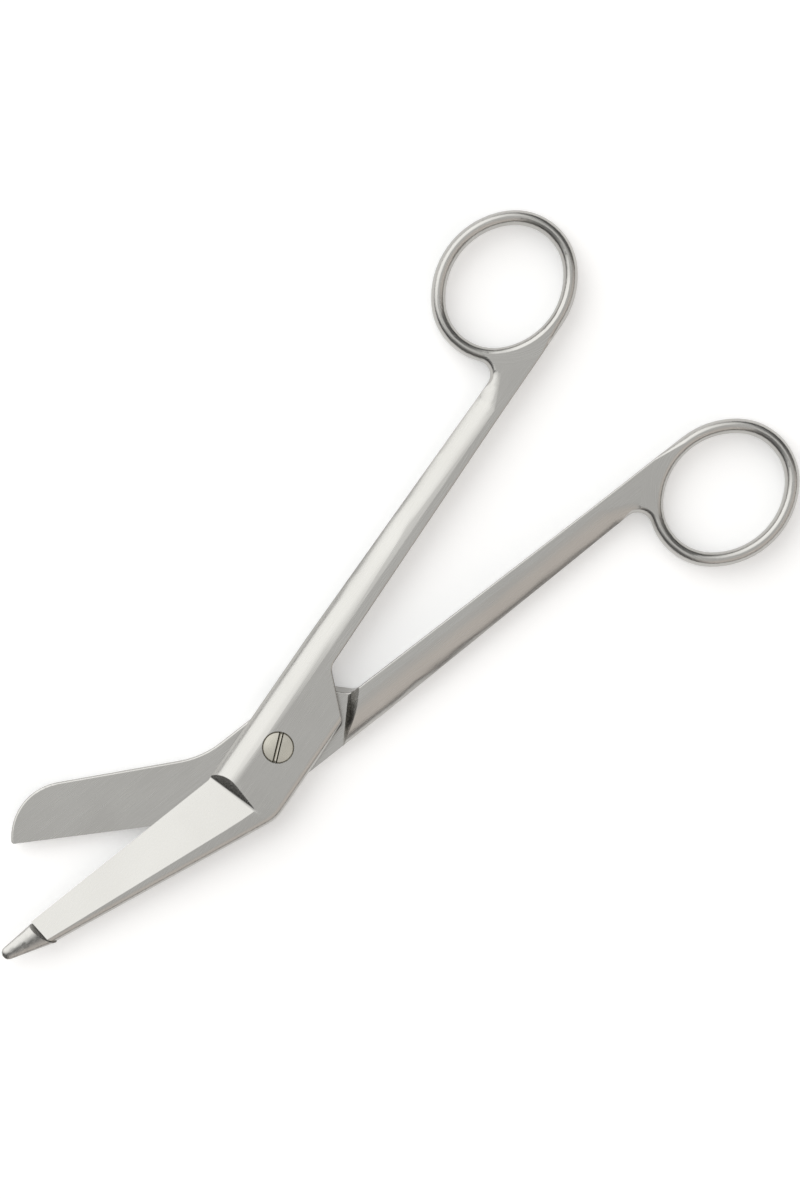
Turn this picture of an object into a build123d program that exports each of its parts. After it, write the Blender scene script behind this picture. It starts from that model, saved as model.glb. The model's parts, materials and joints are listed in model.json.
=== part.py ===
from build123d import *
from math import acos, atan2, cos, degrees, hypot, radians, sin, tan
import os

# Bandage scissors. Each half is drawn closed and lying flat: pivot at the origin, +X towards the finger
# rings, lap plane at z = 0, the half's own plate above that plane and its outer side towards +Y.
# The lower half is drawn the same way and turned over about X.

# Joint (mm, degrees)
OPENING = 17.4          # angle between the halves as shown
HALF_T = 3.3            # thickness of each half at the joint
LAP_GAP = 0.06          # free gap between the two lap faces
OUTER_Y = 7.65          # outer side of joint and shank, from the long axis
EAR_Y = 7.75            # ear side of the joint, from the long axis
FOOT_X = 17.5           # shoulder foot on the long axis
SHOULDER_ANGLE = 46.0   # shoulder line to the long axis
SHOULDER_LEAN = 1.15    # how far the shoulder leans back over the half's thickness
SHOULDER_CLEAR = 0.25   # gap between ear and shoulder when closed
SHOULDER_BEVEL = 0.9    # bevel along the top of the shoulder
CROTCH_R = 2.5          # rounding where the ear meets the shank
EDGE_R = 1.35           # rounding along the ear side and the blade's back
INNER_R = 0.3           # small rounding along the shank's inner side

# Shank and finger ring
SHANK_IN = 0.45         # inner side of the shank at the heel, from the long axis
SWELL_W = 5.2           # width of the outer rounding at the heel
SWELL_H = 2.6           # drop of the outer rounding at the heel
NECK_X = 78.5           # where shank and neck meet
NECK_OUT = 6.7          # outer side of the neck, from the long axis
NECK_L = 21.4           # from there to the middle of the finger hole
RING_GAP = 1.0          # ring to the long axis when closed
HOLE_LONG = 12.85       # half length of the finger hole
HOLE_WIDE = 10.8        # half width of the finger hole
HOLE_ROUND = 0.77       # bluntness of the hole's ends: 1 is as on an ellipse, less is blunter
RING_TILT = -3.8        # hole's long axis to the half's long axis
RING_W = 2.9            # width of the ring's bow
RING_T = 5.1            # height of the ring's bow
RIM_W = 1.3             # width of the rounding along the bow's edges
RIM_H = 2.1             # drop of the same rounding
RIM_RUN = 7.0           # length over which that rounding dies out along the neck's inner side
CROOK_R = 2.8           # rounding between neck and ring

# Blades
EDGE_T = 0.4            # thickness left at the cutting edges
TAPER_X = -9.0          # where the blades start to thin
TAPER_BLEND = 10.0      # length of the bend into the taper
PLUNGE_LEAD = 0.9       # wall at the facet's root, behind the start of the cutting edge
PLUNGE_LEAN = 45.0      # how far that wall leans back
PLUNGE_R = 0.8          # hollow at the foot of the wall
BEND_R = 8.0            # bend between joint and the probe blade's back
PROBE_ROOT_X = -13.2    # start of the probe blade's cutting edge
PROBE_EDGE = 16.9       # cutting edge to the long axis
PROBE_BACK_X = -11.8    # where the back leaves the joint
PROBE_BACK = 26.5       # back to the long axis
PROBE_FACET = 15.5      # slope of the ground facet
PROBE_X = -55.9         # foot of the probe's step, at the cutting edge
PROBE_STEP = 37.0       # how far the step leans towards the tip
PROBE_TURN = 24.4       # probe to the long axis
PROBE_T = 1.75          # thickness of the back at the probe
PROBE_L = 9.65          # length of the probe
PROBE_NOSE = 1.35       # nose radius of the probe
PROBE_FLAT = 0.47       # height of the probe over its width
PROBE_LAP = 1.5         # how far the probe's root reaches under the blade
PROBE_Z = 1.1           # middle of the probe above the lap plane, at its root
PROBE_DIP = 4.0         # how far the probe tips down
BLUNT_ROOT_X = -11.2    # start of the blunt blade's cutting edge
BLUNT_EDGE = 30.8       # cutting edge to the long axis
BLUNT_BACK_X = -13.0    # where the back leaves the joint
BLUNT_BACK = 28.1       # back to the long axis
BLUNT_BEND_R = 18.0     # bend between joint and the blunt blade's back
BLUNT_FACET = 13.5      # slope of the ground facet
BLUNT_TURN_X = -38.6    # where the back turns into the round end
BLUNT_X = -53.2         # end of the cutting edge
BLUNT_CORNER_R = 0.6    # rounding where the round end meets the cutting edge
BLUNT_T = 2.1           # thickness of the back at the end
BLUNT_BEVEL = 0.45      # rounding along the back on the inner face

# Pivot screw
HEAD_R = 3.1
HEAD_T = 1.3
HEAD_SET = 0.06         # head below the outer face
HEAD_DOME = 0.18        # rise of the head's domed face
HEAD_BREAK = 0.22       # broken edge of the head
HEAD_CLEAR = 0.08       # head to its seat, all round
HEAD_PLAY = 0.03        # head to the floor of its seat
BEARING_R = 2.2         # part the upper half turns on
BEARING_CLEAR = 0.04
THREAD_R = 1.75         # threaded end, in the lower half
THREAD_SET = 0.12       # threaded end above the underside
SLOT_W = 0.95
SLOT_T = 0.8            # depth of the slot, to its round floor
SLOT_ANGLE = 29.7       # slot to the long axis


# Where the joint ends and the shank begins: just past the rounding at the ear
HEEL_X = (FOOT_X + (SHOULDER_LEAN + SHANK_IN * cos(radians(SHOULDER_ANGLE))) / sin(radians(SHOULDER_ANGLE))
          + CROTCH_R * tan(radians(SHOULDER_ANGLE / 2)) + 0.5)

# Middle of the finger hole
RING_X = NECK_X + NECK_L

# Arc of the outer rounding: its radius, and where it leaves the flat top
SWELL_R = (SWELL_W**2 + SWELL_H**2) / (2 * SWELL_H)
SWELL_Y = OUTER_Y - SWELL_W

# How far the blades are drawn past their ends before they are cut off
OVERRUN = 2 * PROBE_T

# Furthest point from the pivot, used for the size of cutting blocks
REACH = RING_X + HOLE_LONG + RING_W


def prism(points, z0, z1):
    """Closed outline of points, raised from z0 to z1."""
    return Pos(0, 0, z0) * extrude(make_face(Polyline(*points, close=True)), z1 - z0)


def slab(side):
    """Side view (x, z) swept far to both sides, used to trim a plan to its thickness."""
    return extrude(Plane.XZ * make_face(side), REACH, both=True)


def rim_section(wide, drop, top):
    """Space outside an elliptical rounding whose edge stands at x = 0, with the solid towards +x."""
    low = top - drop
    outline = EllipticalCenterArc((wide, low), wide, drop, 90, arc_size=90)
    outline += Polyline((0, low), (-wide, low), (-wide, top + drop), (wide, top + drop), (wide, top))
    return make_face(outline)


def arc_section(wide, drop, top, beyond):
    """The same for one arc that leaves the flat top smoothly, reaching some way beyond the edge."""
    low = top - drop
    outline = TangentArc((wide, top), (0, low), tangent=(-1, 0))
    outline += Polyline((0, low), (-beyond, low), (-beyond, top + drop), (wide, top + drop), (wide, top))
    return make_face(outline)


def across(x, y, side):
    """Plane across the long axis at an edge, with its x axis pointing into the solid."""
    return Plane((x, y, 0), x_dir=(0, side, 0), z_dir=(side, 0, 0))


def ring_rim():
    """Rounding of the ring's bow, kept within half the bow's width and height."""
    return rim_section(min(RIM_W, RING_W / 2 - LAP_GAP), min(RIM_H, RING_T / 2 - LAP_GAP), RING_T / 2)


def rim_cut(plan, edge):
    """Space outside the ring's rounding along one round edge of its plan."""
    start = edge.position_at(0)
    ahead = edge.tangent_at(0)
    inward = Vector(-ahead.Y, ahead.X, 0)
    if not plan.is_inside(start + inward * LAP_GAP):
        inward = -inward
    facing = inward.cross(Vector(0, 0, 1))
    section = Plane(start, x_dir=inward, z_dir=facing) * ring_rim()
    side = (start - edge.arc_center).cross(ahead).Z
    angle = degrees(edge.length / edge.radius)
    return revolve(section, Axis(edge.arc_center, (0, 0, 1)), angle if side > 0 else -angle)


def bar(x0, x1, inner, outer, top):
    """Upper half of a straight bar: flat inside, rounded outside, each size given at both ends."""
    flat = make_face(Polyline((x0, inner[0]), (x1, inner[1]), (x1, SWELL_Y), (x0, SWELL_Y), close=True))
    side = Polyline((x0, 0), (x1, 0), (x1, top[1]), (x0, top[0]), close=True)
    low = HALF_T - SWELL_R
    profile = make_face(Polyline((x0, low), (x1, low), (x1, top[1]), (x0, top[0]), close=True))
    place = Plane((0, SWELL_Y, 0), x_dir=(1, 0, 0), z_dir=(0, -1, 0))
    round_side = revolve(place * profile, Axis((0, SWELL_Y, low), (-1, 0, 0)), 90)
    plan = make_face(Polyline((x0, SWELL_Y), (x1, SWELL_Y), (x1, outer[1]), (x0, outer[0]), close=True))
    body = (extrude(flat, 2 * HALF_T) & slab(side)) + (round_side & extrude(plan, 2 * HALF_T))
    start = across(x0, inner[0], 1) * arc_section(INNER_R, INNER_R, top[0], INNER_R)
    end = across(x1, inner[1], 1) * arc_section(INNER_R, INNER_R, top[1], INNER_R)
    return body - loft([start, end], ruled=True)


def oval(grow):
    """Four-arc oval of the finger hole, grown outwards, with the tangent point of its lowest side."""
    end_r = HOLE_WIDE * (HOLE_WIDE / HOLE_LONG) ** HOLE_ROUND
    side_r = (HOLE_LONG**2 + HOLE_WIDE**2 - 2 * HOLE_LONG * end_r) / (2 * (HOLE_WIDE - end_r))
    end_x = HOLE_LONG - end_r
    side_y = side_r - HOLE_WIDE
    reach = hypot(end_x, side_y)
    jx = end_x + (end_r + grow) * abs(end_x) / reach
    jy = (end_r + grow) * abs(side_y) / reach
    side = HOLE_WIDE + grow
    end = HOLE_LONG + grow
    outline = ThreePointArc((-jx, -jy), (0, -side), (jx, -jy))
    outline += ThreePointArc((jx, -jy), (end, 0), (jx, jy))
    outline += ThreePointArc((jx, jy), (0, side), (-jx, jy))
    outline += ThreePointArc((-jx, jy), (-end, 0), (-jx, -jy))
    low = side_y * cos(radians(RING_TILT)) - side_r - grow
    low_x = -side_y * sin(radians(RING_TILT))
    return Rot(0, 0, RING_TILT) * make_face(outline), low_x, low


def ring_and_neck():
    """Finger ring with the web that joins it to the shank, both faces alike."""
    outer, low_x, low = oval(RING_W)
    hole = oval(0)[0]
    centre = Pos(RING_X, RING_GAP - low, 0)
    touch = (RING_X + low_x, RING_GAP)
    neck = make_face(Polyline((NECK_X, RING_GAP), touch, (RING_X, RING_GAP - low),
                              (RING_X, NECK_OUT), (NECK_X, NECK_OUT), close=True))
    plate = extrude(neck + centre * outer, RING_T / 2)
    crook = plate.edges().filter_by(Axis.Z).filter_by_position(Axis.Y, NECK_OUT - 0.01, NECK_OUT + 0.01)
    plate = fillet(crook.sort_by(Axis.X)[-1], CROOK_R)
    plan = Pos(0, 0, -RING_T / 2) * plate.faces().sort_by(Axis.Z)[-1]
    bend = plan.vertices().filter_by_position(Axis.Y, NECK_OUT - 0.01, NECK_OUT + 0.01)
    crook_x = bend.sort_by(Axis.X)[-1].X
    plan = (plan - centre * hole).face()
    top = RING_T / 2
    swell_w = NECK_OUT - SWELL_Y
    swell_r = top - HALF_T + SWELL_R
    swell_h = swell_r - (swell_r**2 - swell_w**2) ** 0.5
    cuts = [rim_cut(plan, edge) for edge in plan.edges().filter_by(GeomType.CIRCLE)]
    fade_x = touch[0] - RIM_RUN
    small = arc_section(INNER_R, INNER_R, top, INNER_R)
    cuts.append(extrude(across(NECK_X, RING_GAP, 1) * small, fade_x - NECK_X))
    cuts.append(loft([across(fade_x, RING_GAP, 1) * small,
                      across(touch[0], RING_GAP, 1) * ring_rim()], ruled=True))
    cuts.append(loft([across(NECK_X, NECK_OUT, -1) * arc_section(swell_w, swell_h, top, CROOK_R),
                      across(crook_x + CROOK_R, NECK_OUT, -1) * arc_section(RIM_W, LAP_GAP, top, CROOK_R)],
                     ruled=True))
    cuts.append(loft([across(NECK_X, NECK_OUT, -1) * rim_section(RIM_W, swell_h, top),
                      across(crook_x, NECK_OUT, -1) * ring_rim()], ruled=True))
    upper = extrude(plan, top) - cuts
    return upper + mirror(upper, Plane.XY)


def shank():
    """Shank from the heel to the neck, narrowing and thinning on the way."""
    upper = bar(HEEL_X, NECK_X, (SHANK_IN, RING_GAP), (OUTER_Y, NECK_OUT), (HALF_T, RING_T / 2))
    return upper + mirror(upper, Plane.XY)


def heel():
    """Lower half of the joint's shank end, cut off along the leaning shoulder."""
    turn = radians(SHOULDER_ANGLE)
    away = Vector(sin(turn), cos(turn), 0)
    along = Vector(-cos(turn), sin(turn), 0)
    upper = bar(0, HEEL_X, (SHANK_IN, SHANK_IN), (OUTER_Y, OUTER_Y), (HALF_T, HALF_T))
    block = mirror(upper, Plane.XY)
    block += prism([(0, SHANK_IN), (HEEL_X, SHANK_IN), (HEEL_X, OUTER_Y), (0, OUTER_Y)], -LAP_GAP, LAP_GAP)
    wall = Plane((FOOT_X, 0, 0), x_dir=along, z_dir=away * HALF_T + Vector(0, 0, SHOULDER_LEAN))
    block = split(block, wall, keep=Keep.TOP)
    top = Vector(FOOT_X, 0, -HALF_T) + away * (SHOULDER_LEAN + SHOULDER_BEVEL)
    return split(block, Plane(top, x_dir=along, z_dir=away + Vector(0, 0, 1)), keep=Keep.TOP)


def ear_cut():
    """Space beyond the ear: the leaning ear wall and the shank's inner side, rounded where they meet."""
    turn = radians(SHOULDER_ANGLE)
    away = Vector(sin(turn), -cos(turn), 0)
    along = Vector(-cos(turn), -sin(turn), 0)
    wall = Plane(Vector(FOOT_X, 0, 0) - away * SHOULDER_CLEAR, x_dir=along,
                 z_dir=away * HALF_T - Vector(0, 0, SHOULDER_LEAN))
    block = extrude(wall * Rectangle(REACH, REACH), REACH)
    block = split(block, Plane((0, SHANK_IN, 0), x_dir=(1, 0, 0), z_dir=(0, -1, 0)), keep=Keep.TOP)
    root = block.edges().sort_by_distance((FOOT_X, SHANK_IN, 0))[0]
    return fillet(root, CROTCH_R)


def swell_cut(root_x):
    """Space outside the wide rounding along the joint's outer side."""
    section = arc_section(SWELL_W, SWELL_H, HALF_T, SWELL_W)
    return extrude(across(HEEL_X, OUTER_Y, -1) * section, HEEL_X - root_x)


def facet_cut(root_x, angle, slope):
    """Space above a blade's ground facet, closed at its root by a leaning wall square to the edge."""
    turn = radians(angle)
    rise = radians(slope)
    lean = radians(PLUNGE_LEAN)
    up = Vector(0, 0, 1)
    along = Vector(-cos(turn), sin(turn), 0)
    inward = Vector(-sin(turn), -cos(turn), 0)
    foot = Vector(root_x + PLUNGE_LEAD, OUTER_Y, EDGE_T)
    facet = Plane((root_x, OUTER_Y, EDGE_T), x_dir=along, z_dir=up * cos(rise) - inward * sin(rise))
    wall = Plane(foot, x_dir=inward, z_dir=along * cos(lean) + up * sin(lean))
    block = split(Box(3 * REACH, 3 * REACH, 3 * REACH), facet, keep=Keep.TOP)
    block = split(block, wall, keep=Keep.TOP)
    return fillet(block.edges().sort_by_distance(foot)[0], PLUNGE_R)


def blank(outline, tip_x, tip_t):
    """Joint plate and blade in one thickness, thinned towards the tip."""
    blend_x = TAPER_X - TAPER_BLEND
    slope = (HALF_T - tip_t) / (TAPER_X - TAPER_BLEND / 2 - tip_x)
    blend_z = HALF_T - slope * TAPER_BLEND / 2
    far_x = tip_x - OVERRUN
    far_z = tip_t - slope * OVERRUN
    side = Polyline((blend_x, blend_z), (far_x, far_z), (far_x, LAP_GAP / 2),
                    (HEEL_X, LAP_GAP / 2), (HEEL_X, HALF_T), (TAPER_X, HALF_T))
    side += TangentArc((TAPER_X, HALF_T), (blend_x, blend_z), tangent=(-1, 0))
    return extrude(outline, 2 * HALF_T) & slab(side)


def rounded(body, near, radius):
    """Round the run of edges that starts with the one nearest to a point."""
    return fillet(body.edges().sort_by_distance(near)[0], radius)


def corner_at(plan, x, y):
    """Corner of a plan nearest to (x, y)."""
    return plan.vertices().sort_by_distance((x, y, 0))[0]


def probe_plan():
    """Joint and probe blade, with the cutting edge and the back run on past the probe."""
    far = PROBE_X - OVERRUN
    edge_y = OUTER_Y + (PROBE_ROOT_X - far) * tan(radians(PROBE_EDGE))
    back_y = (PROBE_BACK_X - far) * tan(radians(PROBE_BACK)) - EAR_Y
    plan = make_face(Polyline((HEEL_X, OUTER_Y), (PROBE_ROOT_X, OUTER_Y), (far, edge_y), (far, back_y),
                              (PROBE_BACK_X, -EAR_Y), (HEEL_X, -EAR_Y), close=True))
    return fillet(corner_at(plan, PROBE_BACK_X, -EAR_Y), BEND_R)


def blunt_plan():
    """Joint and blunt blade; the back turns into the round end and meets the cutting edge."""
    turn_y = -EAR_Y - (BLUNT_BACK_X - BLUNT_TURN_X) * tan(radians(BLUNT_BACK))
    end_y = OUTER_Y - (BLUNT_ROOT_X - BLUNT_X) * tan(radians(BLUNT_EDGE))
    back = Vector(-cos(radians(BLUNT_BACK)), -sin(radians(BLUNT_BACK)))
    outline = Polyline((BLUNT_X, end_y), (BLUNT_ROOT_X, OUTER_Y), (HEEL_X, OUTER_Y), (HEEL_X, -EAR_Y),
                       (BLUNT_BACK_X, -EAR_Y), (BLUNT_TURN_X, turn_y))
    outline += TangentArc((BLUNT_TURN_X, turn_y), (BLUNT_X, end_y), tangent=back)
    plan = make_face(outline)
    return fillet(corner_at(plan, BLUNT_BACK_X, -EAR_Y), BLUNT_BEND_R)


def probe_step():
    """Wall at the probe's root: it rises from the cutting edge and leans towards the tip."""
    lean = radians(PROBE_STEP)
    return Plane((PROBE_X, 0, EDGE_T), x_dir=(0, 1, 0), z_dir=(-cos(lean), 0, -sin(lean)))


def probe():
    """Flattened cone that runs into a flattened ball, cut off along the step at its root."""
    edge_y = OUTER_Y + (PROBE_ROOT_X - PROBE_X) * tan(radians(PROBE_EDGE))
    back_y = (PROBE_BACK_X - PROBE_X) * tan(radians(PROBE_BACK)) - EAR_Y
    wide = (edge_y - back_y) / 2 * cos(radians(PROBE_TURN))
    centre = PROBE_L - PROBE_NOSE
    lean = atan2(wide, -centre) - acos(PROBE_NOSE / hypot(centre, wide))
    touch_x = centre + PROBE_NOSE * cos(lean)
    touch_w = PROBE_NOSE * sin(lean)
    root_w = wide + (wide - touch_w) * PROBE_LAP / touch_x
    root = Plane.YZ.offset(-PROBE_LAP) * Ellipse(root_w, root_w * PROBE_FLAT)
    touch = Plane.YZ.offset(touch_x) * Ellipse(touch_w, touch_w * PROBE_FLAT)
    profile = EllipticalCenterArc((0, 0), PROBE_NOSE, PROBE_NOSE * PROBE_FLAT, -90, arc_size=180)
    profile += Line(profile @ 1, profile @ 0)
    ball = Pos(centre, 0, 0) * revolve(Plane.XZ * make_face(profile), Axis.Z)
    body = loft([root, touch], ruled=True) + split(ball, Plane.YZ.offset(touch_x), keep=Keep.TOP)
    place = Pos(PROBE_X, (edge_y + back_y) / 2, PROBE_Z) * Rot(0, 0, 180 - PROBE_TURN) * Rot(0, PROBE_DIP, 0)
    return split(place * body, probe_step(), keep=Keep.TOP)


def joint(body, root_x, angle, slope):
    """Finish a blank: rounded ear side and back, outer rounding, ground facet, ear and its small rounding."""
    body = rounded(body, (0, -EAR_Y, HALF_T), EDGE_R)
    body = body - swell_cut(root_x) - facet_cut(root_x, angle, slope) - ear_cut()
    turn = radians(SHOULDER_ANGLE)
    reach = FOOT_X - EAR_Y / 2 / tan(turn) + (SHOULDER_LEAN - SHOULDER_CLEAR) / sin(turn)
    return rounded(body, (reach, -EAR_Y / 2, HALF_T), INNER_R)


def probe_half():
    """Upper half: probe blade, joint, shank and ring, with the seat and bore for the screw."""
    body = joint(blank(probe_plan(), PROBE_X, PROBE_T), PROBE_ROOT_X, PROBE_EDGE, PROBE_FACET)
    body = split(body, probe_step(), keep=Keep.BOTTOM)
    body = body + probe() + heel() + shank() + ring_and_neck()
    seat_z = HALF_T - HEAD_SET - HEAD_T - HEAD_PLAY
    body -= Pos(0, 0, seat_z + HALF_T) * Cylinder(HEAD_R + HEAD_CLEAR, 2 * HALF_T)
    return body - Cylinder(BEARING_R + BEARING_CLEAR, 4 * HALF_T)


def blunt_half():
    """Lower half, drawn like the upper one: blunt blade, joint, shank and ring, with the tapped hole."""
    plan = blunt_plan()
    body = blank(plan, BLUNT_X, BLUNT_T)
    body = rounded(body, ((BLUNT_BACK_X + BLUNT_TURN_X) / 2, -OUTER_Y * 2, LAP_GAP / 2), BLUNT_BEVEL)
    body = joint(body, BLUNT_ROOT_X, -BLUNT_EDGE, BLUNT_FACET)
    end_y = OUTER_Y - (BLUNT_ROOT_X - BLUNT_X) * tan(radians(BLUNT_EDGE))
    body = body & extrude(fillet(corner_at(plan, BLUNT_X, end_y), BLUNT_CORNER_R), 2 * HALF_T)
    body = body + heel() + shank() + ring_and_neck()
    return body - Cylinder(THREAD_R, 4 * HALF_T)


def pivot_screw():
    """Slotted shoulder screw: head in the upper half, bearing between, thread in the lower half."""
    top = HALF_T - HEAD_SET
    rim = top - HEAD_DOME
    outline = TangentArc((0, top), (HEAD_R - HEAD_BREAK, rim), tangent=(1, 0))
    outline += Polyline((HEAD_R - HEAD_BREAK, rim), (HEAD_R, rim - HEAD_BREAK), (HEAD_R, top - HEAD_T),
                        (BEARING_R, top - HEAD_T), (BEARING_R, -LAP_GAP / 2), (THREAD_R, -LAP_GAP / 2),
                        (THREAD_R, THREAD_SET - HALF_T), (0, THREAD_SET - HALF_T), (0, top))
    body = revolve(Plane.XZ * make_face(outline), Axis.Z)
    floor = SLOT_T - SLOT_W / 2
    slot = Pos(0, 0, -floor) * Rot(0, 90, 0) * Cylinder(SLOT_W / 2, 4 * HEAD_R)
    slot += Box(4 * HEAD_R, SLOT_W, 2 * floor)
    return body - Pos(0, 0, top) * Rot(0, 0, SLOT_ANGLE) * slot


lift = Pos(0, 0, HALF_T)
parts = {
    "probe_half": lift * Rot(0, 0, OPENING / 2) * probe_half(),
    "blunt_half": lift * Rot(0, 0, -OPENING / 2) * Rot(180, 0, 0) * blunt_half(),
    "pivot_screw": lift * pivot_screw(),
}

os.makedirs("parts", exist_ok=True)
for name, shape in parts.items():
    shape.label = name
    export_step(shape, f"parts/{name}.step")
    print(name, round(shape.volume), "mm3")
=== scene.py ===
# %% [markdown]
# Bandage scissors, seen from straight above on a white table. The pair is three pieces of stainless
# steel: an upper half with a probe tip, a lower half with a blunt tip, and the slotted screw that they
# turn on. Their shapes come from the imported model, so this lesson is about finish, light and camera.

# %% Load the frame
import json
from math import cos, radians, sin

import bmesh
import bpy
from mathutils import Matrix, Vector


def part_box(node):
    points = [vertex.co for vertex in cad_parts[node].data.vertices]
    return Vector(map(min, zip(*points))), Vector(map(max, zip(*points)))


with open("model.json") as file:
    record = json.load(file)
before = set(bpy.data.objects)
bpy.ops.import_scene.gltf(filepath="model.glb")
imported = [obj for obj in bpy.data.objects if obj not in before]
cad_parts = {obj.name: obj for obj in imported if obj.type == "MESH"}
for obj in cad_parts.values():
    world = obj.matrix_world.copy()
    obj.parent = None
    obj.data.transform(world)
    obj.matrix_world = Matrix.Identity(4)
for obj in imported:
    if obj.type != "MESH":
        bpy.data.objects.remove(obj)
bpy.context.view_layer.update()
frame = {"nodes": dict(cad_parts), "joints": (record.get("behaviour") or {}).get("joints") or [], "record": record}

MM = 0.001
halves = {name: frame["nodes"][name] for name in ("probe_half", "blunt_half")}
screw = frame["nodes"]["pivot_screw"]

# %% [markdown]
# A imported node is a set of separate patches, one for each face of the solid, and each patch has its own
# normals. Polished metal shows every seam between them. A Weld modifier joins the patches, an Edge Split
# keeps the true corners sharp, and Weighted Normal lets the big flat faces set the normals where a
# rounding begins. The meshes themselves stay as they came.

# %% Smooth the roundings and keep the corners
WELD_GAP = 0.002 * MM
CORNER = radians(24)
FLAT_WEIGHT = 60


def finish_edges(node):
    weld = node.modifiers.new("join patches", "WELD")
    weld.merge_threshold = WELD_GAP
    corners = node.modifiers.new("sharp corners", "EDGE_SPLIT")
    corners.split_angle = CORNER
    corners.use_edge_sharp = False
    normals = node.modifiers.new("even normals", "WEIGHTED_NORMAL")
    normals.mode = "FACE_AREA"
    normals.weight = FLAT_WEIGHT
    normals.keep_sharp = True


for node in (*halves.values(), screw):
    finish_edges(node)
    print(node.name, len(node.data.polygons), "triangles")

# %% [markdown]
# A procedural material is a chain of small nodes. A few helpers keep that chain readable: each makes one
# node, feeds its inputs with plain values or with the outputs of other nodes, and returns its output.

# %% Helpers for single nodes


def add(tree, kind, **values):
    node = tree.nodes.new(kind)
    for key, value in values.items():
        setattr(node, key, value)
    return node


def feed(tree, socket, value):
    if isinstance(value, tuple) and socket.type == "RGBA":
        socket.default_value = (*value, 1.0)
    elif isinstance(value, (int, float, tuple)):
        socket.default_value = value
    else:
        tree.links.new(value, socket)


def calc(tree, operation, *values, kind="ShaderNodeMath"):
    node = add(tree, kind, operation=operation)
    for socket, value in zip(node.inputs, values):
        feed(tree, socket, value)
    return node.outputs[0]


def vector(tree, operation, *values):
    return calc(tree, operation, *values, kind="ShaderNodeVectorMath")


def ramp(tree, value, low, high, start=0.0, end=1.0, kind="LINEAR"):
    node = add(tree, "ShaderNodeMapRange", interpolation_type=kind)
    settings = {"Value": value, "From Min": start, "From Max": end, "To Min": low, "To Max": high}
    for name, setting in settings.items():
        feed(tree, node.inputs[name], setting)
    return node.outputs["Result"]


def blend(tree, share, first, second, kind="RGBA"):
    node = add(tree, "ShaderNodeMix", data_type=kind)
    feed(tree, node.inputs["Factor"], share)
    sockets = [s for s in node.inputs if s.type == kind and s.name in ("A", "B")]
    for socket, value in zip(sockets, (first, second)):
        feed(tree, socket, value)
    return next(s for s in node.outputs if s.type == kind)


print("node helpers ready")

# %% [markdown]
# Places are split into their three axes and put together again, and the distance from the upright axis
# comes from two of them.

# %% Helpers for places


def split(tree, place):
    node = add(tree, "ShaderNodeSeparateXYZ")
    tree.links.new(place, node.inputs[0])
    return [node.outputs[axis] for axis in "XYZ"]


def join(tree, **axes):
    node = add(tree, "ShaderNodeCombineXYZ")
    for axis, value in axes.items():
        tree.links.new(value, node.inputs[axis])
    return node.outputs[0]


def distance(tree, x, y):
    squares = [calc(tree, "POWER", side, 2.0) for side in (x, y)]
    return calc(tree, "SQRT", calc(tree, "ADD", *squares))


print("place helpers ready")

# %% [markdown]
# All three pieces are bare metal with fine tool marks. The marks are a noise. They feed the roughness and
# a faint bump, and together with a second, soft noise they keep the tone from being even.

# %% Metal with tool marks
CLOUD_DETAIL = 2.0
MARK_RANGE = (0.35, 0.65)
MARK_DEPTH = 0.02 * MM


def new_material(name):
    material = bpy.data.materials.new(name)
    material.use_nodes = True
    tree = material.node_tree
    shader = tree.nodes["Principled BSDF"]
    return material, tree, shader


def noise(tree, place, detail, scale=1.0):
    node = add(tree, "ShaderNodeTexNoise")
    node.inputs["Scale"].default_value = scale
    node.inputs["Detail"].default_value = detail
    tree.links.new(place, node.inputs["Vector"])
    return node.outputs["Fac"]


def uneven(tree, place, marks, mark_share, cloud_size, spread):
    """From 0 to 1: how light the metal is, from its marks and from soft clouds."""
    clouds = noise(tree, place, CLOUD_DETAIL, 1 / cloud_size)
    parts = [calc(tree, "MULTIPLY", marks, mark_share), calc(tree, "MULTIPLY", clouds, 1 - mark_share)]
    return ramp(tree, calc(tree, "ADD", *parts), 0.0, 1.0, 0.5 - spread, 0.5 + spread)


def make_metal(tree, shader, colour, marks, roughness, bump_strength):
    shader.inputs["Metallic"].default_value = 1.0
    tree.links.new(colour, shader.inputs["Base Color"])
    tree.links.new(ramp(tree, marks, *roughness, *MARK_RANGE), shader.inputs["Roughness"])
    bump = add(tree, "ShaderNodeBump")
    bump.inputs["Strength"].default_value = bump_strength
    bump.inputs["Distance"].default_value = MARK_DEPTH
    tree.links.new(marks, bump.inputs["Height"])
    tree.links.new(bump.outputs[0], shader.inputs["Normal"])


print("metal helpers ready")

# %% [markdown]
# The halves have a satin finish: the maker runs a fine belt along each half and round its finger ring,
# and that leaves short, thin scratches in the direction of the belt. Along blade and shank the direction
# is the half's own long axis, which is turned by half the opening. Round a ring it follows the bow, so
# there the place is read as angle and radius about the middle of the ring. Past the neck one reading
# takes over from the other. The frame knows the middle of the upper ring as a place to hang the pair by,
# and the opening as the way to closed.

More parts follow.
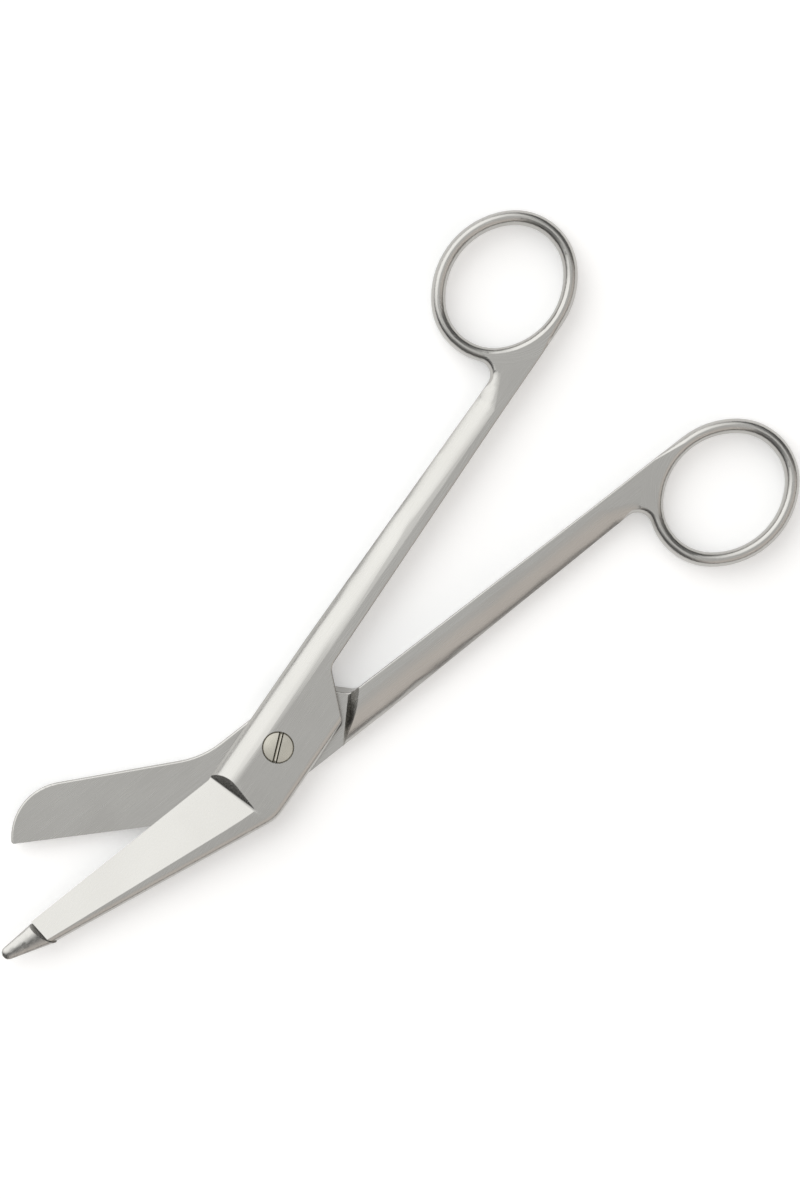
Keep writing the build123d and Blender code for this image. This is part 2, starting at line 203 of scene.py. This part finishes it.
# %% Satin steel of the two halves
ring_hang = next(mount for mount in frame["record"]["mounts"] if mount["name"] == "ring_hang")
ring_x, ring_y = ring_hang["pos_m"][:2]
RING_MIDDLE = {"probe_half": (ring_x, ring_y, 0.0), "blunt_half": (ring_x, -ring_y, 0.0)}
OPENING = radians(-frame["joints"][0]["range_deg"][0])
TURN = {"probe_half": OPENING / 2, "blunt_half": -OPENING / 2}
RING_RADIUS = 13 * MM
RING_REACH = 16.5 * MM
RING_FADE = 1 * MM
SCRATCH_LONG = 1 / (7 * MM)
SCRATCH_WIDE = 1 / (0.11 * MM)
SCRATCH_DETAIL = 3.0
SCRATCH_SHARE = 0.55
STEEL_CLOUD = 14 * MM
STEEL_SPREAD = 0.12
STEEL_LIGHT = (0.478, 0.470, 0.450)
STEEL_DARK = (0.447, 0.438, 0.418)
STEEL_ROUGHNESS = (0.20, 0.28)
STEEL_BUMP = 0.05


def belt_place(tree, place, name):
    """Coordinates that run along the belt: x with the scratches, y and z across them."""
    straight = add(tree, "ShaderNodeMapping")
    straight.inputs["Rotation"].default_value = (0, 0, -TURN[name])
    tree.links.new(place, straight.inputs["Vector"])
    x, y, z = split(tree, vector(tree, "SUBTRACT", place, RING_MIDDLE[name]))
    radius = distance(tree, x, y)
    bow = calc(tree, "MULTIPLY", calc(tree, "ARCTAN2", y, x), RING_RADIUS)
    share = ramp(tree, radius, 1.0, 0.0, RING_REACH - RING_FADE, RING_REACH)
    return blend(tree, share, straight.outputs[0], join(tree, X=bow, Y=radius, Z=z), "VECTOR")


def satin_steel(name):
    material, tree, shader = new_material(f"satin steel {name}")
    place = add(tree, "ShaderNodeTexCoord").outputs["Object"]
    belt = belt_place(tree, place, name)
    stretched = vector(tree, "MULTIPLY", belt, (SCRATCH_LONG, SCRATCH_WIDE, SCRATCH_WIDE))
    scratches = noise(tree, stretched, SCRATCH_DETAIL)
    share = uneven(tree, place, scratches, SCRATCH_SHARE, STEEL_CLOUD, STEEL_SPREAD)
    colour = blend(tree, share, STEEL_DARK, STEEL_LIGHT)
    make_metal(tree, shader, colour, scratches, STEEL_ROUGHNESS, STEEL_BUMP)
    return material


for name, node in halves.items():
    node.data.materials[0] = satin_steel(name)
    print(name, "has", node.data.materials[0].name)

# %% [markdown]
# The screw was turned on a lathe, so its marks are rings about the middle of the head, and its steel is a
# little yellower than the blades. The distance from the pivot is all that the pattern needs. The sides of the
# slot, below the broken edge of the head and above the driver's track in the floor, and the two ends of that track
# are painted dark. This is painted shade, standing for the shade that falls into the slot. Depth and distance
# decide where it shows.

# %% Turned steel of the screw
TURNING_PITCH = 0.09 * MM
TURNING_DETAIL = 2.0
TURNING_SHARE = 0.6
SCREW_CLOUD = 1.5 * MM
SCREW_SPREAD = 0.14
SCREW_LIGHT = (0.60, 0.577, 0.506)
SCREW_DARK = (0.518, 0.494, 0.436)
SCREW_ROUGHNESS = (0.20, 0.32)
SCREW_BUMP = 0.15
# Colour of the painted shade in the slot.
SLOT_SHADE_PAINT = (0.13, 0.125, 0.105)
SLOT_SIDES = (0.42 * MM, 0.50 * MM)
SLOT_FLOOR = (0.785 * MM, 0.75 * MM)
SLOT_ENDS = (2.55 * MM, 2.8 * MM)


# Painted shade: depth below the head and distance from the pivot decide where the slot's sides and ends are
# painted dark.
def painted_slot_shade(tree, height, radius):
    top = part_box(screw.name)[1][2]
    below = ramp(tree, height, 0.0, 1.0, *[top - depth for depth in SLOT_SIDES])
    above = ramp(tree, height, 0.0, 1.0, *[top - depth for depth in SLOT_FLOOR])
    ends = ramp(tree, radius, 0.0, 1.0, *SLOT_ENDS)
    return calc(tree, "MULTIPLY", below, calc(tree, "MAXIMUM", above, ends))


def turned_steel():
    material, tree, shader = new_material("turned steel")
    place = add(tree, "ShaderNodeTexCoord").outputs["Object"]
    x, y, z = split(tree, place)
    radius = distance(tree, x, y)
    rings = join(tree, X=calc(tree, "MULTIPLY", radius, 1 / TURNING_PITCH))
    marks = noise(tree, rings, TURNING_DETAIL)
    share = uneven(tree, place, marks, TURNING_SHARE, SCREW_CLOUD, SCREW_SPREAD)
    unshaded = blend(tree, share, SCREW_DARK, SCREW_LIGHT)
    # The painted shade in the slot is laid over the steel's own tone.
    colour = blend(tree, painted_slot_shade(tree, z, radius), unshaded, SLOT_SHADE_PAINT)
    make_metal(tree, shader, colour, marks, SCREW_ROUGHNESS, SCREW_BUMP)
    return material


screw.data.materials[0] = turned_steel()
print(screw.name, "has", screw.data.materials[0].name)

# %% [markdown]
# The table is a plain white sheet. Lit like the steel it would come out pale grey, so for the camera and
# in reflections some of its light is its own. What is left to the tent is the soft shadow round the
# scissors. The sheet lies a hair below the pair, so that the two never share a plane.

# %% White table
TABLE_HALF = 3.0
TABLE_GAP = 0.05 * MM
TABLE_COLOUR = (0.97, 0.97, 0.97)
TABLE_ROUGHNESS = 0.9
TABLE_GLOW = 0.27
WHITE = (1.0, 1.0, 1.0)


def table_white():
    material, tree, shader = new_material("white table")
    settings = {"Base Color": TABLE_COLOUR, "Roughness": TABLE_ROUGHNESS, "Specular IOR Level": 0.0,
                "Emission Color": WHITE}
    for name, setting in settings.items():
        feed(tree, shader.inputs[name], setting)
    rays = add(tree, "ShaderNodeLightPath")
    seen = calc(tree, "MAXIMUM", rays.outputs["Is Camera Ray"], rays.outputs["Is Glossy Ray"])
    seen = calc(tree, "MAXIMUM", seen, rays.outputs["Is Transmission Ray"])
    tree.links.new(calc(tree, "MULTIPLY", seen, TABLE_GLOW), shader.inputs["Emission Strength"])
    return material


def white_table():
    mesh = bpy.data.meshes.new("table")
    shape = bmesh.new()
    bmesh.ops.create_grid(shape, x_segments=1, y_segments=1, size=TABLE_HALF)
    shape.to_mesh(mesh)
    shape.free()
    mesh.materials.append(table_white())
    table = bpy.data.objects.new("table", mesh)
    table.location.z = -TABLE_GAP
    bpy.context.scene.collection.objects.link(table)
    return table


print("table", white_table().dimensions)

# %% [markdown]
# The light is that of a photographer's tent, and all of it comes from the world: a grey ceiling that
# fades to a dark horizon, darker towards the two ends of the scissors and warmer on the near side, and a
# big bright panel with soft edges on the far side. Flat steel that faces the camera mirrors the ceiling,
# what leans to the panel turns nearly white, and a slope of about 45 degrees mirrors the horizon as a
# dark line. A pair of values says where, in the direction of view, a change begins and ends.

# %% Tent with a soft panel
CEILING = 0.78
HORIZON = 0.06
HAZE = (0.04, 0.34)
ENDS = 0.22
END_WIDTH = 0.8
END_FADE = (0.12, 0.45)
NEAR_SIDE = 1.15
NEAR_FADE = (-0.6, -0.1)
PANEL = 1.87
PANEL_TOP = (-0.04, 0.56)
PANEL_FOOT = (0.04, 0.16)
PANEL_SIDES = (0.30, 0.80)
COOL = (0.99, 0.995, 0.99)
WARM = (1.0, 0.94, 0.89)


def soft(tree, value, low, high, fade):
    return ramp(tree, value, low, high, *fade, kind="SMOOTHSTEP")


def tent_cloth(tree, x, y, z, near):
    sideways = calc(tree, "SUBTRACT", x, calc(tree, "MULTIPLY", y, END_WIDTH))
    cloth = soft(tree, z, HORIZON, CEILING, HAZE)
    cloth = calc(tree, "MULTIPLY", cloth, soft(tree, sideways, 1.0, ENDS, END_FADE))
    return calc(tree, "MULTIPLY", cloth, ramp(tree, near, 1.0, NEAR_SIDE))


def soft_panel(tree, x, y, z):
    panel = calc(tree, "MULTIPLY", soft(tree, y, 0.0, 1.0, PANEL_TOP), soft(tree, z, 0.0, 1.0, PANEL_FOOT))
    return calc(tree, "MULTIPLY", panel, soft(tree, x, 1.0, 0.0, PANEL_SIDES))


def tent():
    world = bpy.data.worlds.new("tent")
    bpy.context.scene.world = world
    world.use_nodes = True
    tree = world.node_tree
    x, y, z = split(tree, add(tree, "ShaderNodeTexCoord").outputs["Generated"])
    x_size, y_size = [calc(tree, "ABSOLUTE", axis) for axis in (x, y)]
    near = ramp(tree, y, 1.0, 0.0, *NEAR_FADE)
    cloth = tent_cloth(tree, x_size, y_size, z, near)
    lift = calc(tree, "MULTIPLY", soft_panel(tree, x_size, y, z), calc(tree, "SUBTRACT", PANEL, cloth))
    back = tree.nodes["Background"]
    tree.links.new(calc(tree, "ADD", cloth, lift), back.inputs["Strength"])
    tree.links.new(blend(tree, near, COOL, WARM), back.inputs["Color"])
    return world


print(tent().name, "lights the table")

# %% [markdown]
# The camera hangs straight above. The picture's pixels give its place: where the pivot is seen, how many
# pixels make a millimetre, and which way the long axis runs.

# %% Camera
IMAGE_W = 800
IMAGE_H = 1199
PIVOT_AT = (278.5, 747.0)
PIXELS_PER_MM = 5.08
AXIS_TURN = radians(46.8)
CAMERA_HEIGHT = 0.9
SENSOR = 36.0
MID_HEIGHT = 3.3 * MM

right = Vector((cos(AXIS_TURN), -sin(AXIS_TURN), 0))
up = Vector((sin(AXIS_TURN), cos(AXIS_TURN), 0))
across = (IMAGE_W / 2 - PIVOT_AT[0]) / PIXELS_PER_MM * MM
along = (PIVOT_AT[1] - IMAGE_H / 2) / PIXELS_PER_MM * MM
data = bpy.data.cameras.new("camera")
data.sensor_width = SENSOR
data.lens = SENSOR * CAMERA_HEIGHT / (IMAGE_H / PIXELS_PER_MM * MM)
camera = bpy.data.objects.new("camera", data)
camera.location = right * across + up * along + Vector((0, 0, MID_HEIGHT + CAMERA_HEIGHT))
camera.rotation_euler = Matrix((right, up, (0, 0, 1))).transposed().to_euler()
bpy.context.scene.collection.objects.link(camera)
bpy.context.scene.camera = camera
bpy.context.scene.view_settings.view_transform = "Standard"
print("camera at", [round(x / MM, 1) for x in camera.location], "lens", round(data.lens, 1))
